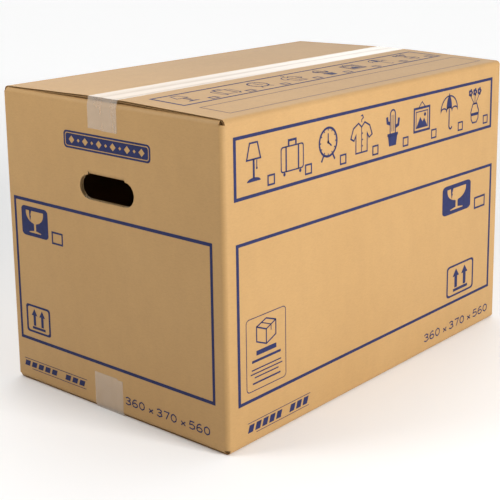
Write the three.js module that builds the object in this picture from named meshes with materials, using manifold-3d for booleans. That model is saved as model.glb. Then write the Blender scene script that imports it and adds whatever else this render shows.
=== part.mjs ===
// A moving carton: one folded and glued sheet of double-wall board, closed with two strips of packing tape.
// Millimetres, +Z up. X runs along the long sides and Y across the ends. The origin is on the floor, below the middle.

import * as THREE from 'three';
import { mergeVertices } from 'three/addons/utils/BufferGeometryUtils.js';
import Module from 'manifold-3d';

const wasm = await Module();
wasm.setup();

const degree = Math.PI / 180;

// Inside of the closed carton
const insideLength = 550;
const insideWidth = 350;
const insideHeight = 350;

// Double-wall board, from the printed face inwards: liner, flute, liner, flute, liner
const liner = 0.5;
const outerFlute = 1.4;
const innerFlute = 2.1;
const outerFlutePitch = 4.2;
const innerFlutePitch = 6.5;
const fluteMedium = 0.35;
const hollowDepth = 2.5;

// Folds, corner slots, and the gap between flaps that lie on each other
const foldRadius = 1;
const foldStep = 15 * degree;
const layerGap = 0.4;
const slotClearance = 1;
const seamGap = 2;

// The end flaps' folds stand almost level with the long flaps, whose cut edges lie just inside them,
// and the end flaps step in from there to lie one layer deeper
const endFoldDrop = 1.2;
const cutEdgeSetback = 4;
const stepTurn = 30 * degree;
const stepRadius = 2;

// The long sides' top flaps spring back at their folds and rise towards the seam, where the tape holds them flat
const topSpringBack = 1.35 * degree;
const seamFlat = 30;
const seamBend = 60;

// Lap inside the rear far corner, where the sheet's two ends are glued together
const lapWidth = 36;
const lapTaper = 12;
const glueBite = 0.2;

// Hand hole in each end, cut in teeth along its lower edge, with its grip folded inwards and up
const gripWidth = 90;
const gripHeight = 29;
const gripRise = 269;
const gripLean = 16 * degree;
const gripArcSteps = 8;
const toothPitch = 5;
const toothWidth = 2;
const toothDepth = 1.1;
const sideHollowSweep = 55 * degree;

// Packing tape: how far its middle lies off the seam, its legs on the two ends, and the step torn in the near one
const tapeWidth = 48;
const tapeThickness = 0.1;
const tapeBend = 0.5;
const topTape = { shift: 3, nearLeg: 37.4, farLeg: 44, step: 1, stepWidth: 22 };
const bottomTape = { shift: 9, nearLeg: 45, farLeg: 52, step: 1.5, stepWidth: 9 };

// Sizes that follow
const board = 3 * liner + outerFlute + innerFlute;
const foldOuter = foldRadius + board;
const halfLength = insideLength / 2 + board;
const halfWidth = insideWidth / 2 + board;
const height = insideHeight + 4 * board + 2 * layerGap;
const floorLevel = tapeThickness;
const topLevel = floorLevel + height;
const flapDepth = halfWidth - seamGap / 2;
const layer = board + layerGap;
const stepDepth = layer - endFoldDrop;
const longFlapReach = halfLength - cutEdgeSetback;
const springSine = Math.sin(topSpringBack);
const springCosine = Math.cos(topSpringBack);
const slopeSpan = flapDepth - seamFlat - seamBend * springSine - foldOuter * (1 - springSine);
const slopeRun = slopeSpan / springCosine;
const seamRise = slopeRun * springSine + (seamBend - foldOuter) * (1 - springCosine);
const endFlapReach = insideWidth / 2 - slotClearance;
const gripStraight = gripWidth - gripHeight;
const gripRadius = gripHeight / 2;
const rootOverlap = 0.5;
const cutMargin = 1;
const fluteLayers = [
  { from: liner, to: liner + outerFlute, pitch: outerFlutePitch },
  { from: 2 * liner + outerFlute, to: board - liner, pitch: innerFlutePitch },
];

// Drawing planes: where an outline's x, its y and its direction of extrusion point
const axisX = new THREE.Vector3(1, 0, 0);
const axisY = new THREE.Vector3(0, 1, 0);
const axisZ = new THREE.Vector3(0, 0, 1);
const floorPlane = new THREE.Matrix4();
const crossPlane = new THREE.Matrix4().makeBasis(axisY, axisZ, axisX);
const lengthPlane = new THREE.Matrix4().makeBasis(axisX, axisZ, axisY.clone().negate());
const nearEnd = new THREE.Matrix4();
const farEnd = new THREE.Matrix4().makeRotationZ(Math.PI);

// Solids

function toSolid(geometry) {
  geometry.deleteAttribute('normal');
  geometry.deleteAttribute('uv');
  const merged = mergeVertices(geometry, 1e-4);
  return new wasm.Manifold(new wasm.Mesh({
    numProp: 3,
    vertProperties: new Float32Array(merged.attributes.position.array),
    triVerts: new Uint32Array(merged.index.array),
  }));
}

function toGeometry(solid) {
  const { vertProperties, triVerts } = solid.getMesh();
  const shared = new THREE.BufferGeometry();
  shared.setAttribute('position', new THREE.BufferAttribute(vertProperties, 3));
  shared.setIndex(new THREE.BufferAttribute(triVerts, 1));
  const faceted = shared.toNonIndexed();
  faceted.computeVertexNormals();
  return faceted;
}

// Extrudes an outline between two distances along its plane's third axis
function prism(outline, plane, from, to) {
  const geometry = new THREE.ExtrudeGeometry(outline, { depth: to - from, steps: 1, bevelEnabled: false });
  geometry.translate(0, 0, from);
  geometry.applyMatrix4(plane);
  return toSolid(geometry);
}

function join(solids) {
  return solids.reduce((whole, piece) => whole.add(piece));
}

function rectangle(left, bottom, right, top) {
  return new THREE.Shape([
    new THREE.Vector2(left, bottom),
    new THREE.Vector2(right, bottom),
    new THREE.Vector2(right, top),
    new THREE.Vector2(left, top),
  ]);
}

// Board seen edge on

// Follows the printed face through runs and turns, with the inside of the carton on the left.
// A turn to the left is positive, and its radius is measured to the printed face.
function faceLine(start, heading, moves) {
  const marks = [];
  const point = start.clone();
  let angle = heading;
  const inward = () => new THREE.Vector2(-Math.sin(angle), Math.cos(angle));
  const mark = () => marks.push({ point: point.clone(), inward: inward(), angle });
  mark();
  for (const { run = 0, turn = 0, radius = 0 } of moves) {
    if (run) {
      point.add(new THREE.Vector2(Math.cos(angle), Math.sin(angle)).multiplyScalar(run));
      mark();
    }
    const steps = Math.ceil(Math.abs(turn) / foldStep);
    for (let i = 0; i < steps; i++) {
      point.addScaledVector(inward(), Math.sign(turn) * radius);
      angle += turn / steps;
      point.addScaledVector(inward(), -Math.sign(turn) * radius);
      mark();
    }
  }
  return marks;
}

// The outline between two depths below a face line
function strip(line, from, to) {
  const atDepth = (depth) => line.map(({ point, inward }) => point.clone().addScaledVector(inward, depth));
  return new THREE.Shape([...atDepth(from), ...atDepth(to).reverse()]);
}

// Walls

// The four walls, from the raw edge at the glued corner round to the fold of the lap
function walls() {
  const corner = { turn: 90 * degree, radius: foldOuter };
  const low = floorLevel + foldOuter;
  const high = topLevel - foldOuter;
  const around = faceLine(new THREE.Vector2(halfLength, halfWidth), Math.PI, [
    { run: 2 * halfLength - foldOuter },
    corner,
    { run: 2 * (halfWidth - foldOuter) },
    corner,
    { run: 2 * (halfLength - foldOuter) },
    corner,
    { run: 2 * (halfWidth - foldOuter) - board },
  ]);
  const rawEdge = faceLine(new THREE.Vector2(halfLength + cutMargin, halfWidth), Math.PI, [
    { run: hollowDepth + cutMargin },
  ]);
  const hollows = fluteLayers.map(({ from, to }) => prism(strip(rawEdge, from, to), floorPlane, low, high));
  return prism(strip(around, 0, board), floorPlane, low, high).subtract(join(hollows));
}

// The lap turns in behind the raw edge and is glued to the wall there, clear of the end flaps
function lap() {
  const low = floorLevel + 2 * layer;
  const high = topLevel - 2 * layer;
  const wallEnd = new THREE.Vector2(halfLength, halfWidth - board - foldOuter - rootOverlap);
  const fold = faceLine(wallEnd, 90 * degree, [{ run: rootOverlap }, { turn: 90 * degree, radius: foldOuter }]);
  const foldEdge = halfLength - foldOuter;
  const outline = new THREE.Shape([
    new THREE.Vector2(foldEdge, low),
    new THREE.Vector2(foldEdge, high),
    new THREE.Vector2(foldEdge - lapWidth, high - lapTaper),
    new THREE.Vector2(foldEdge - lapWidth, low + lapTaper),
  ]);
  const glueFace = board - halfWidth;
  return prism(strip(fold, 0, board), floorPlane, low, high)
    .add(prism(outline, lengthPlane, glueFace - glueBite, glueFace + board));
}

// What the end walls give up to the folds of their own flaps
function endWallRelief() {
  const relief = endFoldDrop + foldOuter;
  const reliefs = [];
  for (const end of [nearEnd, farEnd]) {
    const plane = end.clone().multiply(crossPlane);
    for (const [bottom, top] of [[floorLevel, floorLevel + relief], [topLevel - relief, topLevel]]) {
      const outline = rectangle(-endFlapReach, bottom, endFlapReach, top);
      reliefs.push(prism(outline, plane, halfLength - board - cutMargin, halfLength + cutMargin));
    }
  }
  return join(reliefs);
}

// Flaps

// Moves from a flap's free edge to the start of its wall
function flapMoves({ springBack, step }) {
  const fold = { turn: 90 * degree - springBack, radius: foldOuter };
  if (springBack) {
    return [{ run: seamFlat }, { turn: springBack, radius: seamBend }, { run: slopeRun }, fold];
  }
  if (step) {
    const slope = (step - (stepRadius + foldOuter) * (1 - Math.cos(stepTurn))) / Math.sin(stepTurn);
    const stepRun = (stepRadius + foldOuter) * Math.sin(stepTurn) + slope * Math.cos(stepTurn);
    return [
      { run: flapDepth - foldOuter - stepRun },
      { turn: -stepTurn, radius: stepRadius },
      { run: slope },
      { turn: stepTurn, radius: foldOuter },
      fold,
    ];
  }
  return [{ run: flapDepth - foldOuter }, fold];
}

// The face line of one flap in its drawing plane, with some run on its wall
function flapLine({ side, atTop, halfSpan, level, springBack, step }, wallRun) {
  const moves = [...flapMoves({ springBack, step }), { run: wallRun }];
  if (atTop === side < 0) {
    return faceLine(new THREE.Vector2(side * (halfSpan - flapDepth), level), atTop ? Math.PI : 0, moves);
  }
  const foldRise = foldOuter + (springBack ? seamRise : 0) - step;
  const wallEnd = level + (atTop ? -1 : 1) * (foldRise + wallRun);
  return faceLine(new THREE.Vector2(side * halfSpan, wallEnd), side * 90 * degree, moves.reverse());
}

// A flap with its fold, less the flutes that lie open along its two side edges
function flap(place) {
  const { plane, reach } = place;
  const body = prism(strip(flapLine(place, rootOverlap), 0, board), plane, -reach, reach);
  const line = flapLine(place, 0);
  const hollows = fluteLayers.flatMap(({ from, to }) => [
    prism(strip(line, from, to), plane, -reach - cutMargin, hollowDepth - reach),
    prism(strip(line, from, to), plane, reach - hollowDepth, reach + cutMargin),
  ]);
  return body.subtract(join(hollows));
}

function flaps() {
  const made = [];
  for (const side of [-1, 1]) {
    for (const atTop of [false, true]) {
      const onLongSide = { plane: crossPlane, halfSpan: halfWidth, reach: longFlapReach };
      const onEnd = { plane: lengthPlane, halfSpan: halfLength, reach: endFlapReach };
      const springBack = atTop ? topSpringBack : 0;
      const outer = atTop ? topLevel + seamRise : floorLevel;
      const inner = atTop ? topLevel - layer : floorLevel + layer;
      made.push(flap({ side, atTop, level: outer, springBack, step: 0, ...onLongSide }));
      made.push(flap({ side, atTop, level: inner, springBack: 0, step: stepDepth, ...onEnd }));
    }
  }
  return join(made);
}

// Hand holes

// A slot with round ends about the origin, toothed along its lower edge
function gripOutline() {
  const outline = new THREE.Shape();
  const teeth = Math.floor(gripStraight / toothPitch);
  outline.moveTo(-gripStraight / 2, -gripRadius);
  for (let i = 0; i < teeth; i++) {
    const middle = (i - (teeth - 1) / 2) * toothPitch;
    outline.lineTo(middle - toothWidth / 2, -gripRadius);
    outline.lineTo(middle, -gripRadius - toothDepth);
    outline.lineTo(middle + toothWidth / 2, -gripRadius);
  }
  for (const [side, startAngle] of [[1, -90], [-1, 90]]) {
    for (let i = 0; i <= gripArcSteps; i++) {
      const angle = (startAngle + 180 * i / gripArcSteps) * degree;
      const x = side * gripStraight / 2 + gripRadius * Math.cos(angle);
      outline.lineTo(x, gripRadius * Math.sin(angle));
    }
  }
  return outline;
}

// The open triangles of each fluted layer where a cut crosses the flutes.
// The frame's x runs along the cut, its y inwards from the printed face, and its z into the board.
function crossCutHollows(frame) {
  const hollows = [];
  for (const { from, to, pitch } of fluteLayers) {
    const halfBase = pitch / 2 - fluteMedium;
    const count = Math.floor(2 * gripStraight / pitch) - 1;
    for (let i = 0; i < count; i++) {
      const middle = (i - (count - 1) / 2) * pitch / 2;
      const [base, tip] = i % 2 ? [to, from + fluteMedium] : [from, to - fluteMedium];
      const triangle = new THREE.Shape([
        new THREE.Vector2(middle - halfBase, base),
        new THREE.Vector2(middle + halfBase, base),
        new THREE.Vector2(middle, tip),
      ]);
      hollows.push(prism(triangle, frame, -toothDepth - cutMargin, toothDepth + hollowDepth));
    }
  }
  return join(hollows);
}

// The flutes that lie open in the round ends of a hand hole, where the cut runs along them
function roundEndHollows(plane, wallFace) {
  const hollows = [];
  for (const side of [-1, 1]) {
    const sector = new THREE.Shape();
    sector.moveTo(side * gripStraight / 2, 0);
    for (let i = 0; i <= gripArcSteps; i++) {
      const angle = (2 * i / gripArcSteps - 1) * sideHollowSweep;
      const reach = gripRadius + hollowDepth;
      sector.lineTo(side * (gripStraight / 2 + reach * Math.cos(angle)), reach * Math.sin(angle));
    }
    for (const { from, to } of fluteLayers) {
      hollows.push(prism(sector, plane, wallFace + from, wallFace + to));
    }
  }
  return join(hollows);
}

// One hand hole: what it takes from the end wall, and the grip that hangs from its upper edge
function handHole(end) {
  const place = (matrix) => end.clone().multiply(matrix);
  const wallFace = -halfLength;
  const through = [wallFace - cutMargin, wallFace + board + cutMargin];
  const holePlane = place(new THREE.Matrix4().setPosition(0, 0, gripRise).multiply(crossPlane));
  const lowerEdge = new THREE.Vector3(wallFace, 0, gripRise - gripRadius);
  const lowerFrame = new THREE.Matrix4().makeBasis(axisY, axisX, axisZ.clone().negate()).setPosition(lowerEdge);
  const cuts = join([
    prism(gripOutline(), holePlane, ...through),
    prism(rectangle(-gripStraight / 2, 0, gripStraight / 2, gripRadius + foldOuter), holePlane, ...through),
    crossCutHollows(place(lowerFrame)),
    roundEndHollows(holePlane, wallFace),
  ]);

  // The grip turns inwards and up below the wall that is left above the hole
  const turn = Math.PI - gripLean;
  const bendStart = new THREE.Vector2(wallFace, gripRise + gripRadius + foldOuter + rootOverlap);
  const bend = faceLine(bendStart, -90 * degree, [{ run: rootOverlap }, { turn, radius: foldOuter }]);
  const bendEnd = bend[bend.length - 1];
  const bendShare = turn * (foldOuter - board / 2) / 2;
  const plate = faceLine(bendEnd.point, bendEnd.angle, [{ run: gripHeight - bendShare + toothDepth }]);
  const sidePlane = place(lengthPlane);

  // The hole's own outline, carried up by the fold, trims the plate
  const hingeUp = new THREE.Vector3(Math.cos(bendEnd.angle), 0, Math.sin(bendEnd.angle));
  const backToHinge = hingeUp.clone().negate();
  const inward = new THREE.Vector3(bendEnd.inward.x, 0, bendEnd.inward.y);
  const plateFace = new THREE.Vector3(bendEnd.point.x, 0, bendEnd.point.y);
  const plateMiddle = plateFace.clone().addScaledVector(hingeUp, gripRadius - bendShare);
  const freeEdge = plateFace.clone().addScaledVector(hingeUp, gripHeight - bendShare);
  const outlineFrame = new THREE.Matrix4()
    .makeBasis(backToHinge.clone().cross(inward), backToHinge, inward)
    .setPosition(plateMiddle);
  const edgeFrame = new THREE.Matrix4()
    .makeBasis(inward.clone().cross(backToHinge), inward, backToHinge)
    .setPosition(freeEdge);
  const grip = prism(strip(plate, 0, board), sidePlane, -gripWidth / 2, gripWidth / 2)
    .intersect(prism(gripOutline(), place(outlineFrame), -cutMargin, board + cutMargin))
    .subtract(crossCutHollows(place(edgeFrame)))
    .add(prism(strip(bend, 0, board), sidePlane, -gripStraight / 2, gripStraight / 2));
  return { cuts, grip };
}

// Tape

// A strip along the seam and some way up or down both ends. At each end it lies on the end wall's fold,
// and from there it bridges to the long flaps.
function tape({ shift, nearLeg, farLeg, step, stepWidth }, atTop) {
  const side = atTop ? 1 : -1;
  const face = halfLength + tapeThickness;
  const level = atTop ? topLevel + seamRise + tapeThickness : 0;
  const [firstLeg, lastLeg] = atTop ? [farLeg, nearLeg] : [nearLeg, farLeg];
  const onFold = { turn: foldStep, radius: foldOuter + tapeThickness };
  const overEdge = { turn: 90 * degree - onFold.turn, radius: tapeBend };
  const rise = tapeThickness + (atTop ? seamRise : 0) + endFoldDrop + foldOuter;
  const foldRise = onFold.radius * Math.sin(onFold.turn);
  const edgeRise = tapeBend * (1 - Math.cos(overEdge.turn));
  const bridge = (rise - foldRise - edgeRise) / Math.cos(onFold.turn);
  const foldInset = onFold.radius * (1 - Math.cos(onFold.turn));
  const edgeInset = tapeBend * Math.sin(overEdge.turn);
  const inset = foldInset + bridge * Math.sin(onFold.turn) + edgeInset;
  const line = faceLine(new THREE.Vector2(side * face, level - side * firstLeg), side * 90 * degree, [
    { run: firstLeg - rise },
    onFold,
    { run: bridge },
    overEdge,
    { run: 2 * (face - inset) },
    overEdge,
    { run: bridge },
    onFold,
    { run: lastLeg - rise },
  ]);
  const band = prism(strip(line, 0, tapeThickness), lengthPlane, -shift - tapeWidth / 2, tapeWidth / 2 - shift);
  const cutEnd = level - side * nearLeg;
  const stepEdge = shift + side * tapeWidth / 2;
  const torn = rectangle(stepEdge - side * stepWidth, cutEnd + side * step, stepEdge + side * cutMargin, cutEnd - side * cutMargin);
  return band.subtract(prism(torn, crossPlane, -face - cutMargin, cutMargin - face));
}

// Assembly

function carton() {
  const holes = [nearEnd, farEnd].map(handHole);
  return walls()
    .subtract(endWallRelief())
    .add(lap())
    .subtract(join(holes.map((hole) => hole.cuts)))
    .add(flaps())
    .add(join(holes.map((hole) => hole.grip)));
}

function meshOf(name, solid, look) {
  const mesh = new THREE.Mesh(toGeometry(solid), new THREE.MeshStandardMaterial(look));
  mesh.name = name;
  return mesh;
}

const kraftBoard = { color: 0xc9a06c, roughness: 0.85, metalness: 0 };
const clearTape = { color: 0xd8c7a8, roughness: 0.25, metalness: 0, transparent: true, opacity: 0.6 };

const movingCarton = new THREE.Group();
movingCarton.add(meshOf('carton', carton(), kraftBoard));
movingCarton.add(meshOf('top_tape', tape(topTape, true), clearTape));
movingCarton.add(meshOf('bottom_tape', tape(bottomTape, false), clearTape));

export default movingCarton;
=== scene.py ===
import math
from itertools import product
import bpy
import bmesh
from mathutils import Matrix, Vector
from mathutils.bvhtree import BVHTree
from mathutils.geometry import tessellate_polygon


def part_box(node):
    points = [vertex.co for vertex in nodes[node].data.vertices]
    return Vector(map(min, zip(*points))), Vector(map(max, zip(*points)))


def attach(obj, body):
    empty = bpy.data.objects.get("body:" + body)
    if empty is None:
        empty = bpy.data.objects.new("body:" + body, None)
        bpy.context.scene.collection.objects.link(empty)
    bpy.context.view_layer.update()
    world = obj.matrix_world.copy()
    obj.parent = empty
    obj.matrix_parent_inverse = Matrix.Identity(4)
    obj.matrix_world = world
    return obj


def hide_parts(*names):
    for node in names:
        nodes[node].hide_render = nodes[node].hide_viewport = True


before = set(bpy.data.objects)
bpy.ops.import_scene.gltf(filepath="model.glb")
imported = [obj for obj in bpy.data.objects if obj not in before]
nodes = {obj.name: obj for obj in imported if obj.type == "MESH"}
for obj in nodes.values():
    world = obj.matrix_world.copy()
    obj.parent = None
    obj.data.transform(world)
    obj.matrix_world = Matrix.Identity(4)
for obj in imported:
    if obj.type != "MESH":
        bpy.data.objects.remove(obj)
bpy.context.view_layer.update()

# A taped moving box of printed double-wall board. Its sizes are in millimetres, and the studio's in metres.
mm = 0.001
low, high = (Vector(corner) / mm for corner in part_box("carton"))
boxFloor, boxTop = low.z, high.z
nearX, farX = low.x, high.x
frontY, backY = low.y, high.y


# Helpers that every part of the scene uses

def addObject(name, data):
    made = bpy.data.objects.new(name, data)
    bpy.context.scene.collection.objects.link(made)
    return made


def meshFrom(form, name):
    mesh = bpy.data.meshes.new(name)
    form.to_mesh(mesh)
    form.free()
    return mesh


# The carrier's mesh as its modifier leaves it; the modifier and the carrier go
def plainMesh(carrier, modifier):
    graph = bpy.context.evaluated_depsgraph_get()
    plain = bpy.data.meshes.new_from_object(carrier.evaluated_get(graph), depsgraph=graph)
    carrier.modifiers.remove(modifier)
    bpy.data.objects.remove(carrier)
    return plain


# Each input of a node is a value to set, or a socket to join it to
def feed(tree, node, inputs):
    for key, value in inputs.items():
        if isinstance(value, bpy.types.NodeSocket):
            tree.links.new(value, node.inputs[key])
        else:
            node.inputs[key].default_value = value


def addNode(tree, kind, inputs=None, **settings):
    node = tree.nodes.new(kind)
    for key, value in settings.items():
        setattr(node, key, value)
    feed(tree, node, inputs or {})
    return node


# A material's nodes around its one shader
class NodeSheet:
    def __init__(self, name):
        self.material = bpy.data.materials.new(name)
        self.material.use_nodes = True
        self.tree = self.material.node_tree
        self.shader = self.tree.nodes["Principled BSDF"]

    def add(self, kind, inputs=None, **settings):
        return addNode(self.tree, "ShaderNode" + kind, inputs, **settings)

    def place(self, scale):
        coordinates = self.add("TexCoord")
        mapping = self.add("Mapping", {"Vector": coordinates.outputs["Object"], "Scale": scale})
        return mapping.outputs["Vector"]

    def noise(self, scale, detail=2, stretch=(1, 1, 1), roughness=0.5):
        made = self.add("TexNoise", {
            "Vector": self.place(stretch), "Scale": scale, "Detail": detail, "Roughness": roughness,
        })
        return made.outputs["Fac"]

    def ramp(self, value, stops):
        made = self.add("ValToRGB", {"Fac": value})
        elements = made.color_ramp.elements
        elements[0].position, elements[0].color = stops[0]
        elements[1].position, elements[1].color = stops[-1]
        for position, colour in stops[1:-1]:
            elements.new(position).color = colour
        return made.outputs["Color"]

    def mix(self, factor, first, second, blend="MIX"):
        made = self.add("Mix", {0: factor, 6: first, 7: second}, data_type="RGBA", blend_type=blend)
        return made.outputs[2]

    def math(self, operation, first, second=0):
        return self.add("Math", {0: first, 1: second}, operation=operation).outputs[0]

    def finish(self, inputs):
        feed(self.tree, self.shader, inputs)
        return self.material


def greys(stops, paintedShade=1):
    return [(position, (value * paintedShade, value * paintedShade, value * paintedShade, 1)) for position, value in stops]


# Camera, at the photograph's viewing angle

camera = {
    "azimuth": -51.69,
    "elevation": 12.26,
    "place": (-1149.1, -999.8, 598.9),
    "focalPixels": 1193.8,
    "opticalCentre": (325, 150),
    "framePixels": 500,
    "sensor": 36,
    "farthest": 100,
}


def makeCamera(settings):
    azimuth = math.radians(settings["azimuth"])
    elevation = math.radians(settings["elevation"])
    level = math.cos(elevation)
    back = Vector((math.sin(azimuth) * level, -math.cos(azimuth) * level, math.sin(elevation)))
    right = Vector((0, 0, 1)).cross(back).normalized()
    up = back.cross(right)
    pixels = settings["framePixels"]
    centreX, centreY = settings["opticalCentre"]
    data = bpy.data.cameras.new("photoCamera")
    data.sensor_width = settings["sensor"]
    data.lens = settings["focalPixels"] / pixels * settings["sensor"]
    data.shift_x = (pixels / 2 - centreX) / pixels
    data.shift_y = (centreY - pixels / 2) / pixels
    data.clip_end = settings["farthest"]
    place = Matrix((right, up, back)).transposed().to_4x4()
    place.translation = Vector(settings["place"]) * mm
    made = addObject("photoCamera", data)
    made.matrix_world = place
    bpy.context.scene.camera = made


makeCamera(camera)
print("camera made")


# Studio: a pale floor under a pale surround that is brightest behind the box, and two soft lights

white = (1, 1, 1, 1)
studio = {
    "floorSize": 24,
    "floorColour": (0.93, 0.93, 0.93, 1),
    "floorRoughness": 0.9,
    "floorGlow": {"from": 0.6, "to": 2.6, "strength": 0.28},
    "surround": (
        {"side": (0.78, 0.42, 0.47), "from": -0.8, "to": 0.8, "strength": 0.9, "blend": "LINEAR"},
        {"side": (0.76, 0.6, 0.24), "from": 0.75, "to": 1, "strength": 1.15, "blend": "SMOOTHSTEP"},
    ),
    "lights": {
        "keyLight": {"place": (-0.02, -1.75, 0.82), "size": 0.45, "power": 24.5},
        "endLight": {"place": (-0.78, 0.3, 0.9), "size": 0.35, "power": 3.7},
    },
    "lightsAim": (0, 0, 0.18),
}


# A strength that grows from nothing to its full value between two limits
def risingStrength(tree, value, settings, blend="LINEAR"):
    made = addNode(tree, "ShaderNodeMapRange", {
        "Value": value,
        "From Min": settings["from"],
        "From Max": settings["to"],
        "To Min": 0,
        "To Max": settings["strength"],
    }, interpolation_type=blend)
    return made.outputs["Result"]


def makeSurround(settings):
    world = bpy.data.worlds.new("surround")
    world.use_nodes = True
    tree = world.node_tree
    coordinates = addNode(tree, "ShaderNodeTexCoord")
    strengths = []
    for part in settings["surround"]:
        facing = addNode(tree, "ShaderNodeVectorMath", {
            0: coordinates.outputs["Generated"], 1: part["side"],
        }, operation="DOT_PRODUCT")
        strengths.append(risingStrength(tree, facing.outputs["Value"], part, part["blend"]))
    both = addNode(tree, "ShaderNodeMath", {0: strengths[0], 1: strengths[1]}, operation="ADD")
    feed(tree, tree.nodes["Background"], {"Color": white, "Strength": both.outputs[0]})
    bpy.context.scene.world = world


def makeFloor(settings):
    half = settings["floorSize"] / 2
    corners = [(-half, -half, 0), (half, -half, 0), (half, half, 0), (-half, half, 0)]
    mesh = bpy.data.meshes.new("floor")
    mesh.from_pydata(corners, [], [(0, 1, 2, 3)])
    sheet = NodeSheet("paleFloor")
    place = sheet.add("TexCoord").outputs["Object"]
    away = sheet.add("VectorMath", {0: place}, operation="LENGTH").outputs["Value"]
    mesh.materials.append(sheet.finish({
        "Base Color": settings["floorColour"],
        "Roughness": settings["floorRoughness"],
        "Emission Color": white,
        "Emission Strength": risingStrength(sheet.tree, away, settings["floorGlow"]),
    }))
    floor = addObject("floor", mesh)


def makeLights(settings):
    for name, light in settings["lights"].items():
        data = bpy.data.lights.new(name, "AREA")
        data.shape = "SQUARE"
        data.size = light["size"]
        data.energy = light["power"]
        lamp = addObject(name, data)
        lamp.location = light["place"]
        aim = Vector(settings["lightsAim"]) - Vector(light["place"])
        lamp.rotation_euler = aim.to_track_quat("-Z", "Y").to_euler()


bpy.context.scene.view_settings.view_transform = "Standard"
makeSurround(studio)
makeFloor(studio)
makeLights(studio)
print("studio made")


# Materials

kraft = {
    "pale": (0.485, 0.285, 0.105, 1),
    "dark": (0.455, 0.263, 0.093, 1),
    "clouds": {"scale": 5},
    "fibres": {"scale": 900, "detail": 3, "stretch": (0.3, 0.3, 1), "roughness": 0.65},
    "fibreTones": ((0.25, 0.93), (0.5, 1), (0.78, 1.05)),
    "mottle": {"scale": 60, "detail": 3, "stretch": (1, 1, 0.5)},
    "mottleTones": ((0.3, 0.975), (0.7, 1.02)),
    "fibreBump": 0.06,
    "fibreHeight": 0.0004,
    "roughness": 0.62,
}


# A copy with paintedShade below 1 is the same board darkened all over: a painted shade
def kraftMaterial(name, settings, paintedShade=1):
    sheet = NodeSheet(name)
    colour = sheet.ramp(sheet.noise(**settings["clouds"]), [(0.3, settings["dark"]), (0.7, settings["pale"])])
    fibres = sheet.noise(**settings["fibres"])
    colour = sheet.mix(1, colour, sheet.ramp(fibres, greys(settings["fibreTones"])), "MULTIPLY")
    mottle = sheet.noise(**settings["mottle"])
    colour = sheet.mix(1, colour, sheet.ramp(mottle, greys(settings["mottleTones"], paintedShade)), "MULTIPLY")
    bump = sheet.add("Bump", {
        "Height": fibres, "Strength": settings["fibreBump"], "Distance": settings["fibreHeight"],
    })
    return sheet.finish({
        "Base Color": colour,
        "Roughness": settings["roughness"],
        "Normal": bump.outputs["Normal"],
    })


ink = {
    "pale": (0.014, 0.021, 0.098, 1),
    "dark": (0.01, 0.014, 0.068, 1),
    "density": {"scale": 160, "detail": 4},
    "roughness": 0.65,
    "gloss": 0.3,
}


def inkMaterial(name, settings):
    sheet = NodeSheet(name)
    density = sheet.noise(**settings["density"])
    return sheet.finish({
        "Base Color": sheet.ramp(density, [(0.3, settings["dark"]), (0.72, settings["pale"])]),
        "Roughness": settings["roughness"],
        "Specular IOR Level": settings["gloss"],
    })


film = {
    "colour": (0.82, 0.75, 0.66, 1),
    "haze": 0.285,
    "glare": 0.82,
    "falloff": 3,
    "roughness": 0.25,
    "gloss": 0.08,
    "creases": {"scale": 15, "detail": 3, "stretch": (0.12, 2.4, 0.6)},
    "creaseBump": 0.35,
    "creaseHeight": 0.002,
    "streaks": {"scale": 26, "detail": 3, "stretch": (0.06, 3, 0.5)},
    "streakTones": ((0.38, 0.68), (0.55, 1)),
}


# Clear where it is seen squarely, and opaque pale white where it is seen along its surface: a painted glare,
# in streaks, that stands in for the film's reflection
def filmMaterial(name, settings):
    sheet = NodeSheet(name)
    bump = sheet.add("Bump", {
        "Height": sheet.noise(**settings["creases"]),
        "Strength": settings["creaseBump"],
        "Distance": settings["creaseHeight"],
    })
    facing = sheet.add("LayerWeight", {"Blend": 0.5}).outputs["Facing"]
    glare = sheet.math("MULTIPLY", sheet.math("POWER", facing, settings["falloff"]), settings["glare"])
    streaks = sheet.ramp(sheet.noise(**settings["streaks"]), greys(settings["streakTones"]))
    return sheet.finish({
        "Base Color": settings["colour"],
        "Roughness": settings["roughness"],
        "Specular IOR Level": settings["gloss"],
        "Normal": bump.outputs["Normal"],
        "Alpha": sheet.math("ADD", sheet.math("MULTIPLY", glare, streaks), settings["haze"]),
    })


# The board's cross-section on the rims of the hand holes: three liners with waves of flute paper between, and
# the hollows between them painted dark as shade

holeEdge = {
    "innerFace": 275,
    "liners": ({"depth": 0, "half": 0.5}, {"depth": 2.5, "half": 0.3}, {"depth": 5, "half": 0.5}),
    "waves": ({"depth": 1.25, "pitch": 5.2}, {"depth": 3.75, "pitch": 6.5}),
    "waveSwing": 0.8,
    "waveHalf": 0.32,
    "paper": (0.5, 0.37, 0.22, 1),
    # The gap colour is painted shade: the dark inside the open flute channels
    "gap": (0.05, 0.03, 0.014, 1),
    "roughness": 0.9,
}


def holeEdgeMaterial(name, settings):
    sheet = NodeSheet(name)
    inMillimetres = sheet.place((1 / mm, 1 / mm, 1 / mm))
    place = sheet.add("SeparateXYZ", {"Vector": inMillimetres})
    depth = sheet.math("SUBTRACT", sheet.math("ABSOLUTE", place.outputs["X"]), settings["innerFace"])

    def nearTo(centre, half):
        distance = sheet.math("ABSOLUTE", sheet.math("SUBTRACT", depth, centre))
        return sheet.math("LESS_THAN", distance, half)

    paper = 0
    for liner in settings["liners"]:
        paper = sheet.math("MAXIMUM", paper, nearTo(liner["depth"], liner["half"]))
    for wave in settings["waves"]:
        angle = sheet.math("MULTIPLY", place.outputs["Y"], 2 * math.pi / wave["pitch"])
        swing = sheet.math("MULTIPLY", sheet.math("SINE", angle), settings["waveSwing"])
        centre = sheet.math("ADD", swing, wave["depth"])
        paper = sheet.math("MAXIMUM", paper, nearTo(centre, settings["waveHalf"]))
    return sheet.finish({
        "Base Color": sheet.mix(paper, settings["gap"], settings["paper"]),
        "Roughness": settings["roughness"],
    })


# The cut edges, the hollows between their liners and the flute paper in them get this darker copy of the
# board: painted shade
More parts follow.
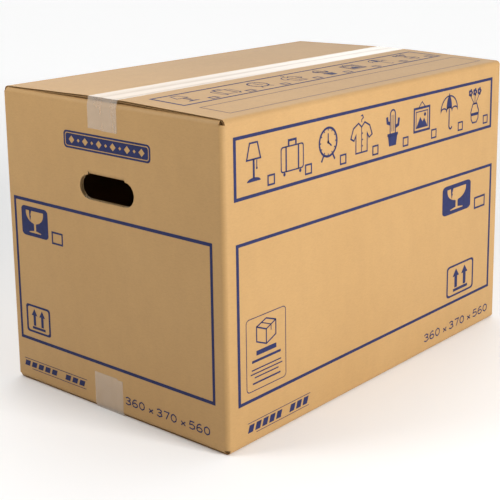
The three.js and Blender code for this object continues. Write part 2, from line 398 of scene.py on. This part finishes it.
cutEdgePaintedShade = 0.85
boardMaterial = kraftMaterial("kraftBoard", kraft)
shadedEdgeMaterial = kraftMaterial("kraftCutEdgeShaded", kraft, cutEdgePaintedShade)
holeMaterial = holeEdgeMaterial("kraftHoleEdge", holeEdge)
inkBlue = inkMaterial("blueInk", ink)
clearFilm = filmMaterial("clearFilm", film)
print("materials made")


# A tree of Geometry Nodes with named inputs, whose result becomes a plain mesh

class ShapeSheet:
    def __init__(self, name):
        self.tree = bpy.data.node_groups.new(name, "GeometryNodeTree")
        for way in ("INPUT", "OUTPUT"):
            self.tree.interface.new_socket("Geometry", in_out=way, socket_type="NodeSocketGeometry")
        self.source = self.add("NodeGroupInput")
        self.end = self.add("NodeGroupOutput")
        self.sockets = {}

    def inputs(self, **kinds):
        for name, kind in kinds.items():
            socket = self.tree.interface.new_socket(name, in_out="INPUT", socket_type="NodeSocket" + kind)
            self.sockets[name] = socket.identifier
        return [self.source.outputs[name] for name in kinds]

    def add(self, kind, inputs=None, **settings):
        return addNode(self.tree, kind, inputs, **settings)

    def math(self, operation, first, second=0):
        return self.add("ShaderNodeMath", {0: first, 1: second}, operation=operation).outputs[0]

    def close(self, geometry, material):
        whole = self.add("GeometryNodeRealizeInstances", {"Geometry": geometry})
        finished = self.add("GeometryNodeSetMaterial", {"Geometry": whole.outputs[0], "Material": material})
        feed(self.tree, self.end, {"Geometry": finished.outputs[0]})

    def run(self, mesh, name, values):
        carrier = addObject(name + "Carrier", mesh)
        modifier = carrier.modifiers.new(name, "NODES")
        modifier.node_group = self.tree
        for key, value in values.items():
            modifier[self.sockets[key]] = value
        return addObject(name, plainMesh(carrier, modifier))


def joined(pieces, name):
    form = bmesh.new()
    for piece in pieces:
        form.from_mesh(piece.data)
    mesh = meshFrom(form, name)
    for material in pieces[0].data.materials:
        mesh.materials.append(material)
    for piece in pieces:
        bpy.data.objects.remove(piece)
    return addObject(name, mesh)


# Board: the imported carton with smooth folds, and its cut edges in a darker copy of its finish, which paints
# shade on them

boardLook = {
    "mergeReach": 0.01,
    "sharpAngle": 32,
    "areaWeight": 100,
    "flapEnd": (270, 277),
    "flapLayer": 12,
    "flapEndTurn": 0.9,
    "holeWall": 274.9,
    "holeHalfWidth": 60,
    "holeHeight": (240, 300),
    "holeRimTurn": 0.5,
}


# A node's faces in a form of their own, with their shared corners merged
def bareForm(name):
    source = nodes[name].data
    corners = [vertex.co for vertex in source.vertices]
    mesh = bpy.data.meshes.new("bare")
    mesh.from_pydata(corners, [], [tuple(face.vertices) for face in source.polygons])
    form = bmesh.new()
    form.from_mesh(mesh)
    bpy.data.meshes.remove(mesh)
    bmesh.ops.remove_doubles(form, verts=form.verts, dist=boardLook["mergeReach"] * mm)
    form.normal_update()
    return form


# Which of the board's three materials a face has: its liner, a cut edge or the rim of a hand hole
def boardFinish(face, settings):
    middle = face.calc_center_median() / mm
    turn = abs(face.normal.x)
    flapNear, flapFar = settings["flapEnd"]
    holeLow, holeHigh = settings["holeHeight"]
    inLayer = middle.z < boxFloor + settings["flapLayer"] or middle.z > boxTop - settings["flapLayer"]
    if inLayer and turn > settings["flapEndTurn"] and flapNear < abs(middle.x) < flapFar:
        return 1
    inHole = abs(middle.y) < settings["holeHalfWidth"] and holeLow < middle.z < holeHigh
    if inHole and turn < settings["holeRimTurn"] and abs(middle.x) > settings["holeWall"]:
        return 2
    return 0


def makeBoard(settings):
    form = bareForm("carton")
    for face in form.faces:
        face.material_index = boardFinish(face, settings)
    mesh = meshFrom(form, "board")
    for material in (boardMaterial, shadedEdgeMaterial, holeMaterial):
        mesh.materials.append(material)
    mesh.shade_smooth()
    mesh.set_sharp_from_angle(angle=math.radians(settings["sharpAngle"]))
    carrier = addObject("boardCarrier", mesh)
    weighted = carrier.modifiers.new("weighted", "WEIGHTED_NORMAL")
    weighted.mode = "FACE_AREA"
    weighted.weight = settings["areaWeight"]
    weighted.keep_sharp = True
    board = addObject("board", plainMesh(carrier, weighted))
    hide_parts("carton")
    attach(board, "root")
    return board


board = makeBoard(boardLook)
boardSurface = BVHTree.FromObject(board, bpy.context.evaluated_depsgraph_get())
print("board made")


# How high the board lies at a place, seen from the top or from below
def boardHeight(x, y, fromTop=True):
    start = Vector((x, y, 0.5 if fromTop else -0.2))
    return boardSurface.ray_cast(start, Vector((0, 0, -1 if fromTop else 1)))[0].z


# Flute paper that shows in the open edges of the long flaps, as it wanders between two liners

flutePaper = {
    "cutEdge": 275.7,
    "depth": 2.1,
    "firstY": 2,
    "lastY": 172,
    "step": 2,
    "layers": (
        {"below": 1.2, "swing": 0.55, "wander": 58},
        {"below": 3.45, "swing": 0.85, "wander": 84},
    ),
    "fullTurn": 6.283,
    "crumpleScale": 90,
    "phases": {"side": 1.7, "end": 0.9, "face": 0.6},
}


def flutePaperTree():
    sheet = ShapeSheet("flutePaper")
    swing, wander, phase, crumpleScale, depth, material = sheet.inputs(
        swing="Float", wander="Float", phase="Float", crumpleScale="Float",
        depth="Vector", material="Material",
    )
    place = sheet.add("GeometryNodeInputPosition").outputs[0]
    along = sheet.add("ShaderNodeSeparateXYZ", {0: place}).outputs["Y"]
    angle = sheet.math("ADD", sheet.math("DIVIDE", along, wander), phase)
    wave = sheet.math("MULTIPLY", sheet.math("SINE", angle), swing)
    noise = sheet.add("ShaderNodeTexNoise", {"Vector": place, "Scale": crumpleScale, "Detail": 2})
    crumple = sheet.math("MULTIPLY", sheet.math("SUBTRACT", noise.outputs["Fac"], 0.5), swing)
    shift = sheet.add("ShaderNodeCombineXYZ", {"Z": sheet.math("ADD", wave, crumple)})
    wandering = sheet.add("GeometryNodeSetPosition", {
        "Geometry": sheet.source.outputs["Geometry"], "Offset": shift.outputs[0],
    })
    paper = sheet.add("GeometryNodeExtrudeMesh", {
        "Mesh": wandering.outputs[0], "Offset": depth,
    }, mode="EDGES")
    sheet.close(paper.outputs["Mesh"], material)
    return sheet


def makeFlutePaper(settings):
    sheet = flutePaperTree()
    phases = settings["phases"]
    count = int((settings["lastY"] - settings["firstY"]) / settings["step"]) + 1
    strips = []
    for end, face, side, layer in product((-1, 1), (-1, 1), (-1, 1), settings["layers"]):
        x = end * settings["cutEdge"] * mm
        points = []
        for i in range(count):
            y = side * (settings["firstY"] + i * settings["step"]) * mm
            points.append((x, y, boardHeight(x, y, face > 0) - face * layer["below"] * mm))
        path = bpy.data.meshes.new("flutePath")
        path.from_pydata(points, [(i, i + 1) for i in range(count - 1)], [])
        strips.append(sheet.run(path, "flutePaper", {
            "swing": layer["swing"] * mm,
            "wander": layer["wander"] / settings["fullTurn"] * mm,
            "phase": phases["side"] * side + phases["end"] * end + phases["face"] * face,
            "crumpleScale": float(settings["crumpleScale"]),
            "depth": (-end * settings["depth"] * mm, 0, 0),
            "material": shadedEdgeMaterial,
        }))
    made = joined(strips, "flutePaper")
    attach(made, "root")


makeFlutePaper(flutePaper)
print("flute paper made")


# Packing tape: the outer skin of each strip, a hair above the board, in wrinkled clear film

tapeFilm = {"lift": 0.06, "middle": (0, 0, 185), "sideTurn": 0.9, "sharpAngle": 80}


def makeTape(name, pieceName, settings):
    form = bareForm(name)
    middle = Vector(settings["middle"]) * mm
    hidden = []
    for face in form.faces:
        outwards = face.normal.dot(face.calc_center_median() - middle)
        if abs(face.normal.y) > settings["sideTurn"] or outwards < 0:
            hidden.append(face)
    bmesh.ops.delete(form, geom=hidden, context="FACES")
    form.normal_update()
    for vertex in form.verts:
        vertex.co += vertex.normal * settings["lift"] * mm
    mesh = meshFrom(form, pieceName)
    mesh.materials.append(clearFilm)
    mesh.shade_smooth()
    mesh.set_sharp_from_angle(angle=math.radians(settings["sharpAngle"]))
    tape = addObject(pieceName, mesh)
    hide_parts(name)
    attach(tape, "root")


makeTape("top_tape", "topTapeFilm", tapeFilm)
makeTape("bottom_tape", "bottomTapeFilm", tapeFilm)
print("tape made")


# Printing: flat shapes in the plane of a panel, a hair above the board

printing = {
    "lift": 0.12,
    "leastTurn": 1e-9,
    "leastLength": 1e-6,
    "leastMitre": 0.35,
    "cornerSteps": 6,
    "discSteps": 28,
    "ringSteps": 32,
    "cutStep": 6,
    "cutReach": 60,
    "topPlane": 400,
}


# A face of the box: where its print starts, which way it runs and which way it faces
class Panel:
    def __init__(self, name, origin, right, up):
        self.name = name
        self.origin = Vector(origin)
        self.right = Vector(right)
        self.up = Vector(up)
        self.normal = self.right.cross(self.up)
        self.points = []
        self.triangles = []

    # Each shape is an outline and the outlines of its holes
    def draw(self, *shapes):
        for loops in shapes:
            flat = [Vector((u, v, 0)) for loop in loops for u, v in loop]
            first = len(self.points)
            self.points += flat
            for a, b, c in tessellate_polygon([[Vector((u, v, 0)) for u, v in loop] for loop in loops]):
                turn = (flat[b] - flat[a]).cross(flat[c] - flat[a]).z
                if turn < 0:
                    b, c = c, b
                if abs(turn) > printing["leastTurn"]:
                    self.triangles.append((first + a, first + b, first + c))

    def place(self, point):
        return (self.origin + self.right * point.x + self.up * point.y + self.normal * printing["lift"]) * mm

    def make(self):
        mesh = bpy.data.meshes.new(self.name)
        mesh.from_pydata([self.place(point) for point in self.points], [], self.triangles)
        mesh.materials.append(inkBlue)
        made = addObject(self.name, mesh)
        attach(made, "root")
        return made


def boxCorners(left, bottom, right, top):
    return [(left, bottom), (right, bottom), (right, top), (left, top)]


def bar(left, bottom, right, top):
    return [boxCorners(left, bottom, right, top)]


# A frame whose upper line may slope, drawn with lines that are lineU wide and lineV high
def slopedFrame(left, bottom, right, topLeft, topRight, lineU, lineV):
    loops = []
    for side in (1, -1):
        u, v = side * lineU / 2, side * lineV / 2
        loops.append([
            (left - u, bottom - v), (right + u, bottom - v),
            (right + u, topRight + v), (left - u, topLeft + v),
        ])
    return loops


def outlineFrame(left, bottom, right, top, lineU, lineV):
    return slopedFrame(left, bottom, right, top, top, lineU, lineV)


def arc(u, v, radiusU, radiusV, start, end, steps):
    made = []
    for i in range(steps + 1):
        angle = math.radians(start + (end - start) * i / steps)
        made.append((u + radiusU * math.cos(angle), v + radiusV * math.sin(angle)))
    return made


def circle(u, v, radius, steps):
    return arc(u, v, radius, radius, 0, 360, steps)[:-1]


def disc(u, v, radius):
    return [circle(u, v, radius, printing["discSteps"])]


def ring(u, v, radius, width):
    steps = printing["ringSteps"]
    return [circle(u, v, radius + width / 2, steps), circle(u, v, radius - width / 2, steps)]


def roundedLoop(left, bottom, right, top, radiusU, radiusV=None):
    radiusV = radiusV or radiusU
    loop = []
    for u, v, start in ((right, bottom, -90), (right, top, 0), (left, top, 90), (left, bottom, 180)):
        centreU = u + (radiusU if u == left else -radiusU)
        centreV = v + (radiusV if v == bottom else -radiusV)
        loop += arc(centreU, centreV, radiusU, radiusV, start, start + 90, printing["cornerSteps"])
    return loop


# A rounded loop at a distance inside the edges of a box
def roundedInset(box, insetU, insetV, radiusU, radiusV=None):
    left, bottom, right, top = box
    return roundedLoop(left + insetU, bottom + insetV, right - insetU, top - insetV, radiusU, radiusV)


# A pen line through the points, with its corners mitred
def stroke(points, width, closed=False):
    line = [Vector(point) for point in points]
    count = len(line)
    left, right = [], []
    for i, point in enumerate(line):
        before = line[i - 1] if closed or i > 0 else point
        after = line[(i + 1) % count] if closed or i < count - 1 else point
        into = (point - before).normalized() if (point - before).length else (after - point).normalized()
        out = (after - point).normalized() if (after - point).length else into
        square = Vector((-into.y, into.x))
        across = Vector((-into.y - out.y, into.x + out.x))
        across = across.normalized() if across.length > printing["leastLength"] else square
        spread = width / 2 / max(printing["leastMitre"], across.dot(square))
        left.append(tuple(point + across * spread))
        right.append(tuple(point - across * spread))
    return [left, right] if closed else [left + right[::-1]]


def moved(shapes, u, v, scaleU, scaleV):
    return [[[(u + scaleU * x, v + scaleV * y) for x, y in loop] for loop in loops] for loops in shapes]


# Points of a box that are given as shares of its width and height
def sharesOf(box, shares):
    left, bottom, right, top = box
    return [(left + u * (right - left), bottom + v * (top - bottom)) for u, v in shares]


# Handling marks that any carton carries

glass = {
    "fieldCorner": 0.13,
    "rim": ((0.17, 0.86), (0.83, 0.86)),
    "bowl": {"middle": (0.5, 0.8), "radii": (0.33, 0.36), "steps": 16},
    "stemAndFoot": (
        (0.535, 0.42), (0.535, 0.2), (0.72, 0.155), (0.72, 0.125),
        (0.28, 0.125), (0.28, 0.155), (0.465, 0.2), (0.465, 0.42),
    ),
    "crack": ((0.29, 0.87), (0.38, 0.87), (0.335, 0.7), (0.36, 0.69), (0.32, 0.5), (0.3, 0.68)),
}


def glassMark(*box):
    left, bottom, right, top = box
    corner = glass["fieldCorner"]
    field = roundedLoop(*box, (right - left) * corner, (top - bottom) * corner)
    bowl = arc(*glass["bowl"]["middle"], *glass["bowl"]["radii"], 0, -180, glass["bowl"]["steps"])
    half = glass["bowl"]["steps"] // 2
    outline = [*glass["rim"], *bowl[:half], *glass["stemAndFoot"], *bowl[half + 1:]]
    return [[field, sharesOf(box, outline)], [sharesOf(box, glass["crack"])]]


arrows = {
    "line": (3.2, 2.7),
    "outerCorner": 0.1,
    "innerCorner": 0.08,
    "ground": ((0.24, 0.14), (0.78, 0.14), (0.78, 0.23), (0.24, 0.23)),
    "middles": (0.34, 0.66),
    "foot": 0.26,
    "neck": 0.62,
    "tip": 0.86,
    "shaft": 0.05,
    "head": 0.12,
}


def arrowsMark(*box):
    left, bottom, right, top = box
    width, tall = right - left, top - bottom
    outer = roundedLoop(*box, width * arrows["outerCorner"], tall * arrows["outerCorner"])
    inner = roundedInset(box, *arrows["line"], width * arrows["innerCorner"], tall * arrows["innerCorner"])
    shapes = [[outer, inner], [sharesOf(box, arrows["ground"])]]
    foot, neck, shaft, head = arrows["foot"], arrows["neck"], arrows["shaft"], arrows["head"]
    for middle in arrows["middles"]:
        shapes.append([sharesOf(box, [
            (middle - shaft, foot), (middle + shaft, foot), (middle + shaft, neck), (middle + head, neck),
            (middle, arrows["tip"]), (middle - head, neck), (middle - shaft, neck),
        ])])
    return shapes


def tickBox(u, v, sizeU, sizeV, line):
    return outlineFrame(u - sizeU / 2, v - sizeV / 2, u + sizeU / 2, v + sizeV / 2, line, line)


# Plain digits for the outside sizes in millimetres, each in pen lines on a field one high

figures = {
    "loops": {
        "0": ((0.3, 0.97), (0.1, 0.8), (0.05, 0.5), (0.1, 0.2),
              (0.3, 0.03), (0.5, 0.2), (0.55, 0.5), (0.5, 0.8)),
        "6": ((0.3, 0.57), (0.1, 0.46), (0.05, 0.28), (0.12, 0.1),
              (0.3, 0.03), (0.48, 0.1), (0.55, 0.3), (0.48, 0.48)),
    },
    "lines": {
        "3": ((0.06, 0.84), (0.28, 0.97), (0.5, 0.84), (0.47, 0.62), (0.27, 0.53),
              (0.5, 0.44), (0.55, 0.2), (0.3, 0.03), (0.04, 0.17)),
        "5": ((0.52, 0.95), (0.13, 0.95), (0.08, 0.54), (0.33, 0.61),
              (0.54, 0.46), (0.53, 0.18), (0.31, 0.03), (0.04, 0.12)),
        "6": ((0.48, 0.92), (0.3, 0.97), (0.12, 0.78), (0.05, 0.5), (0.05, 0.28)),
        "7": ((0.05, 0.95), (0.55, 0.95), (0.25, 0.03)),
    },
    "times": (((0.06, 0.08), (0.46, 0.56)), ((0.06, 0.56), (0.46, 0.08))),
    "digitWidth": 0.7,
    "timesWidth": 0.54,
    "gap": 0.26,
    "pen": 0.16,
}


def sizeRow(sizes, left, bottom, width, tall):
    digits = sum(len(size) for size in sizes)
    between = figures["timesWidth"] + 2 * figures["gap"]
    scaleU = width / (digits * figures["digitWidth"] + (len(sizes) - 1) * between)
    shapes = []
    cursor = left

    def write(points, closed=False):
        line = [(cursor + x * scaleU, bottom + y * tall) for x, y in points]
        shapes.append(stroke(line, tall * figures["pen"], closed))

    for i, size in enumerate(sizes):
        if i:
            cursor += figures["gap"] * scaleU
            for points in figures["times"]:
                write(points)
            cursor += (figures["timesWidth"] + figures["gap"]) * scaleU
        for digit in size:
            if digit in figures["loops"]:
                write(figures["loops"][digit], True)
            if digit in figures["lines"]:
                write(figures["lines"][digit])
            cursor += figures["digitWidth"] * scaleU
    return shapes


# Little drawings for the strip: things from a home, each about 40 wide and 44 high around its own middle

pen = 1.55


def lamp():
    return [
        stroke([(-9, 4), (9, 4), (5, 18), (-5, 18)], pen, True),
        stroke([(0, 4), (0, -12)], pen * 1.6),
        [arc(0, -15, 9, 3.4, 0, 180, 10)],
        stroke([(4, 3), (4, -3)], pen * 0.7),
        disc(4, -4, 1.1),
    ]


def suitcase():
    case = (-16, -15, 16, 8)
    return [
        [roundedLoop(*case, 3), roundedInset(case, 1.3, 1.3, 2.2)],
        bar(-9.5, -14.5, -7.6, 7.5),
        bar(7.6, -14.5, 9.5, 7.5),
        stroke([(-5, 8), (-5, 12.5), (5, 12.5), (5, 8)], pen * 1.4),
        disc(-11, -16.6, 1.6),
        disc(11, -16.6, 1.6),
    ]


def clock():
    shapes = [ring(0, 2, 13, pen * 1.4), stroke([(0, 10), (0, 2), (5, -2)], pen), disc(0, 2, 1.5)]
    for near, far in zip(circle(0, 2, 10.4, 12), circle(0, 2, 11.8, 12)):
        shapes.append(stroke([near, far], pen * 0.8))
    for side in (-1, 1):
        shapes.append(stroke([(7 * side, -10), (10 * side, -15)], pen * 1.3))
    return shapes


def shirt():
    edge = [
        (-5, 12), (-13, 8), (-17, -1), (-12, -3.5), (-9, 1), (-9, -16),
        (9, -16), (9, 1), (12, -3.5), (17, -1), (13, 8), (5, 12), (0, 8),
    ]
    return [
        stroke(edge, pen, True),
        stroke([(0, 8), (0, -16)], pen * 0.7),
        stroke([(0, 12.5), (0, 15), (2.6, 16.5), (1.4, 19), (-1.4, 18.4)], pen * 0.8),
        *[disc(1.6, v, 0.8) for v in (2, -4, -10)],
    ]


def cactus():
    return [
        [[(-8, -8), (8, -8), (6, -18), (-6, -18)]],
        stroke([(-9, -7), (9, -7)], pen * 1.8),
        stroke([(-4.5, -6)] + arc(0, 12, 4.5, 5, 180, 0, 8) + [(4.5, -6)], pen),
        stroke([(4.8, 0), (9.5, 1.5), (10.5, 8)], pen * 2.2),
        stroke([(-4.8, 4), (-9, 5.5), (-9.8, 11)], pen * 2.2),
        stroke([(-1.5, -4), (-1.5, 12)], pen * 0.6),
        stroke([(1.7, -4), (1.7, 12)], pen * 0.6),
    ]


def picture():
    return [
        stroke(boxCorners(-14, -11, 14, 12), pen * 1.5, True),
        stroke(boxCorners(-10.5, -7.5, 10.5, 8.5), pen * 0.7, True),
        [[(-10, -7), (-3, 3), (1, -2), (4, 1.5), (10, -7)]],
        disc(5.5, 4.8, 1.9),
        stroke([(-6, 12.5), (0, 18), (6, 12.5)], pen * 0.7),
    ]


def umbrella():
    scallop = 5.3
    hem = []
    for middle in (10.7, 0, -10.7):
        hem += arc(middle, 2, scallop, 3, 0, 180, 8)[1:]
    return [
        stroke(arc(0, 2, 16, 15, 180, 0, 18) + hem[:-1], pen, True),
        [arc(0, 2, scallop, 15, 180, 0, 12) + arc(0, 2, scallop, 3, 0, 180, 8)[1:-1]],
        stroke([(0, 4), (0, -14)] + arc(3, -14, 3, 3.4, 180, 340, 8), pen * 1.2),
        stroke([(0, 16), (0, 19.5)], pen),
    ]


def vase():
    body = [(-4, 2), (-8, -6), (-7, -14), (-4, -18), (4, -18), (7, -14), (8, -6), (4, 2)]
    shapes = [stroke(body, pen, True), stroke([(-7.4, -9), (7.4, -9)], pen * 2)]
    for lean in (-9, 0, 9):
        shapes.append(stroke([(lean * 0.15, 2), (lean * 0.7, 8), (lean, 12)], pen * 0.7))
        shapes += [disc(u, v, 1.7) for u, v in circle(lean, 14.5, 2.6, 5)]
    return shapes


strip = {
    "drawings": (lamp, suitcase, clock, shirt, cactus, picture, umbrella, vase),
    "drawnHeight": 66,
    "endSpace": 4,
    "drawingAt": 0.4,
    "drawingRise": 1.5,
    "drawingScale": (1.24, 1.28),
    "tickAt": 0.84,
    "tickRise": 12,
    "tickSize": 12.5,
    "tickLine": 2.1,
    "tickLineGrowth": 1.3,
}


def stripPitch(left, right):
    return (right - left - 2 * strip["endSpace"]) / len(strip["drawings"])


def drawingStrip(left, bottom, right, top, lineU, lineV):
    shapes = [outlineFrame(left, bottom, right, top, lineU, lineV)]
    tall = (top - bottom) / strip["drawnHeight"]
    scaleU, scaleV = (scale * tall for scale in strip["drawingScale"])
    rise = (bottom + top) / 2 + strip["drawingRise"] * tall
    for i, drawing in enumerate(strip["drawings"]):
        middle = left + strip["endSpace"] + stripPitch(left, right) * (i + strip["drawingAt"])
        shapes += moved(drawing(), middle, rise, scaleU, scaleV)
    return shapes


# Slanted blocks between two hairlines

blocks = {"count": 9, "space": 5, "share": 0.72, "hairlineFrom": 2.2, "hairlineTo": 3, "lowerStart": 14}


def nameBlocks(left, bottom, right, top, slant):
    near, far = blocks["hairlineFrom"], blocks["hairlineTo"]
    pitch = (right - left) / blocks["count"]
    shapes = []
    for i in range(blocks["count"]):
        if i != blocks["space"]:
            a = left + i * pitch
            b = a + pitch * blocks["share"]
            shapes.append([[(a, bottom), (b, bottom), (b + slant, top), (a + slant, top)]])
    shapes.append(bar(left, top + near, right + slant, top + far))
    shapes.append(bar(left + blocks["lowerStart"], bottom - far, right, bottom - near))
    return shapes


# A blue field inside a line, with a row of pale diamonds

plaqueLook = {
    "corner": 5,
    "slit": (2.4, 2.2, 3.6),
    "field": (3.6, 3.3, 2.8),
    "margin": 8,
    "count": 11,
    "reaches": (4.6, 2.2),
    "widest": 0.42,
}


def plaque(*box):
    left, bottom, right, top = box
    middle = (bottom + top) / 2
    pitch = (right - left - 2 * plaqueLook["margin"]) / plaqueLook["count"]
    diamonds = []
    for i in range(plaqueLook["count"]):
        u = left + plaqueLook["margin"] + pitch * (i + 0.5)
        reach = plaqueLook["reaches"][i % 2]
        half = pitch * plaqueLook["widest"] * reach / plaqueLook["reaches"][0]
        diamonds.append([(u - half, middle), (u, middle - reach), (u + half, middle), (u, middle + reach)])
    outer = roundedLoop(*box, plaqueLook["corner"])
    slit = roundedInset(box, *plaqueLook["slit"])
    field = roundedInset(box, *plaqueLook["field"])
    return [[outer, slit], [field, *diamonds]]


# A thin outline around a little drawing of a box, with rules below it

label = {
    "corner": 5,
    "line": 1,
    "innerCorner": 4.2,
    "pen": 1.7,
    "tapePen": 0.7,
    "boxOutline": ((0.5, 0.93), (0.74, 0.86), (0.74, 0.66), (0.5, 0.58), (0.26, 0.66), (0.26, 0.86)),
    "boxEdges": (((0.26, 0.86), (0.5, 0.78), (0.74, 0.86)), ((0.5, 0.78), (0.5, 0.58))),
    "boxTape": ((0.38, 0.895), (0.62, 0.82), (0.62, 0.74)),
    "rules": (
        (0.47, 0.5, 5.6), (0.385, 0.72, 3), (0.28, 0.74, 1.5),
        (0.225, 0.8, 1.5), (0.17, 0.6, 1.5), (0.09, 0.7, 2),
    ),
}


def labelBlock(*box):
    left, bottom, right, top = box
    line = label["line"]
    shapes = [[roundedLoop(*box, label["corner"]), roundedInset(box, line, line, label["innerCorner"])]]
    shapes.append(stroke(sharesOf(box, label["boxOutline"]), label["pen"], True))
    for edge in label["boxEdges"]:
        shapes.append(stroke(sharesOf(box, edge), label["pen"]))
    shapes.append(stroke(sharesOf(box, label["boxTape"]), label["pen"] * label["tapePen"]))
    for rise, share, thick in label["rules"]:
        (near, low), (far, _) = sharesOf(box, [(0.5 - share / 2, rise), (0.5 + share / 2, rise)])
        shapes.append(bar(near, low, far, low + thick))
    return shapes


# Where each panel's print lies, from the middle of its foot

outsideSizes = ("360", "370", "560")
endPrint = {
    "frame": (-166.8, 57.2, 160.7, 235.7),
    "lines": (3.8, 4),
    "plaque": (-70, 310.5, 73.3, 331.2),
    "glass": (-155.5, 191, -106.5, 228),
    "tickBox": (-90.4, 196.2, 18, 13.4, 2.3),
    "arrows": (-156.6, 66.5, -111.2, 102.5),
    "blocks": (-165, 19.5, -50, 26.5, 2.5),
    "sizes": (18.5, 17.2, 137, 9.6),
}
sidePrint = {
    "frame": (-260.5, 52.4, 259.4, 232.8, 227.6),
    "lines": (4.3, 3.8),
    "strip": (-262.3, 282.9, 254.7, 348.6),
    "glass": (137.3, 178, 207.2, 218),
    "tickBox": (231.2, 180.8, 25.5, 14.2, 2.7),
    "arrows": (152, 60.4, 219.5, 104.8),
    "label": (-249, 62, -182.2, 146.8),
    "blocks": (-248, 15.6, -142, 24.4, 3),
    "sizes": (99, 14.9, 163, 10.8),
}
topPrint = {
    "strip": (-249.5, -96, 254, -43.8),
    "lines": (3.4, 3.4),
    "hairline": (-246, -160, 256, -116),
    "hairlineLines": (1.2, 1.2),
}


def endDesign():
    return [
        outlineFrame(*endPrint["frame"], *endPrint["lines"]),
        *plaque(*endPrint["plaque"]),
        *glassMark(*endPrint["glass"]),
        tickBox(*endPrint["tickBox"]),
        *arrowsMark(*endPrint["arrows"]),
        *nameBlocks(*endPrint["blocks"]),
        *sizeRow(outsideSizes, *endPrint["sizes"]),
    ]


def sideDesign():
    return [
        slopedFrame(*sidePrint["frame"], *sidePrint["lines"]),
        *drawingStrip(*sidePrint["strip"], *sidePrint["lines"]),
        *glassMark(*sidePrint["glass"]),
        tickBox(*sidePrint["tickBox"]),
        *arrowsMark(*sidePrint["arrows"]),
        *labelBlock(*sidePrint["label"]),
        *nameBlocks(*sidePrint["blocks"]),
        *sizeRow(outsideSizes, *sidePrint["sizes"]),
    ]


def topDesign():
    return [
        *drawingStrip(*topPrint["strip"], *topPrint["lines"]),
        outlineFrame(*topPrint["hairline"], *topPrint["hairlineLines"]),
    ]


# The row of tick boxes beside the drawings

def tickRowTree():
    sheet = ShapeSheet("tickRow")
    count, start, pitch, width, height, line, material = sheet.inputs(
        count="Int", start="Vector", pitch="Vector",
        width="Float", height="Float", line="Float", material="Material",
    )
    double = sheet.math("MULTIPLY", line, 2)
    outer = sheet.add("GeometryNodeCurvePrimitiveQuadrilateral", {"Width": width, "Height": height})
    inner = sheet.add("GeometryNodeCurvePrimitiveQuadrilateral", {
        "Width": sheet.math("SUBTRACT", width, double),
        "Height": sheet.math("SUBTRACT", height, double),
    })
    outlines = sheet.add("GeometryNodeJoinGeometry")
    for outline in (outer, inner):
        sheet.tree.links.new(outline.outputs[0], outlines.inputs[0])
    box = sheet.add("GeometryNodeFillCurve", {"Curve": outlines.outputs[0]})
    row = sheet.add("GeometryNodeMeshLine", {"Count": count, "Start Location": start, "Offset": pitch})
    boxes = sheet.add("GeometryNodeInstanceOnPoints", {"Points": row.outputs[0], "Instance": box.outputs[0]})
    sheet.close(boxes.outputs[0], material)
    return sheet


def makeTickRow(sheet, name, panel, left, bottom, right, top):
    tall = (top - bottom) / strip["drawnHeight"]
    pitch = stripPitch(left, right)
    firstU = left + strip["endSpace"] + pitch * strip["tickAt"]
    made = sheet.run(bpy.data.meshes.new(name), name, {
        "count": len(strip["drawings"]),
        "start": (firstU, bottom + strip["tickRise"] * tall, printing["lift"]),
        "pitch": (pitch, 0, 0),
        "width": strip["tickSize"],
        "height": strip["tickSize"] * tall,
        "line": strip["tickLine"] * min(1, tall * strip["tickLineGrowth"]),
        "material": inkBlue,
    })
    place = Matrix((panel.right, panel.up, panel.normal)).transposed().to_4x4()
    place.translation = panel.origin
    made.data.transform(Matrix.Scale(mm, 4) @ place)
    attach(made, "root")
    return made


# Lays flat print on the curved top, cut across every few millimetres so that it can bend
def bendToBoard(made):
    form = bmesh.new()
    form.from_mesh(made.data)
    step = printing["cutStep"] * mm
    for cut in range(-printing["cutReach"], printing["cutReach"] + 1):
        plane = Vector((0, cut * step, 0))
        parts = form.verts[:] + form.edges[:] + form.faces[:]
        bmesh.ops.bisect_plane(form, geom=parts, plane_co=plane, plane_no=(0, 1, 0))
    for vertex in form.verts:
        vertex.co.z = boardHeight(vertex.co.x, vertex.co.y) + printing["lift"] * mm
    form.to_mesh(made.data)
    form.free()


def makePrint():
    ticks = tickRowTree()
    topOrigin = (0, 0, printing["topPlane"])
    panels = [
        (Panel("nearEndPrint", (nearX, 0, 0), (0, -1, 0), (0, 0, 1)), endDesign(), None),
        (Panel("farEndPrint", (farX, 0, 0), (0, 1, 0), (0, 0, 1)), endDesign(), None),
        (Panel("frontPrint", (0, frontY, 0), (1, 0, 0), (0, 0, 1)), sideDesign(), sidePrint["strip"]),
        (Panel("backPrint", (0, backY, 0), (-1, 0, 0), (0, 0, 1)), sideDesign(), sidePrint["strip"]),
        (Panel("topFlapPrint", topOrigin, (1, 0, 0), (0, 1, 0)), topDesign(), topPrint["strip"]),
    ]
    for panel, design, ticked in panels:
        panel.draw(*design)
        marks = [panel.make()]
        if ticked:
            marks.append(makeTickRow(ticks, panel.name + "Ticks", panel, *ticked))
        if panel.normal.z > 0.5:
            for made in marks:
                bendToBoard(made)


makePrint()
print("print made")
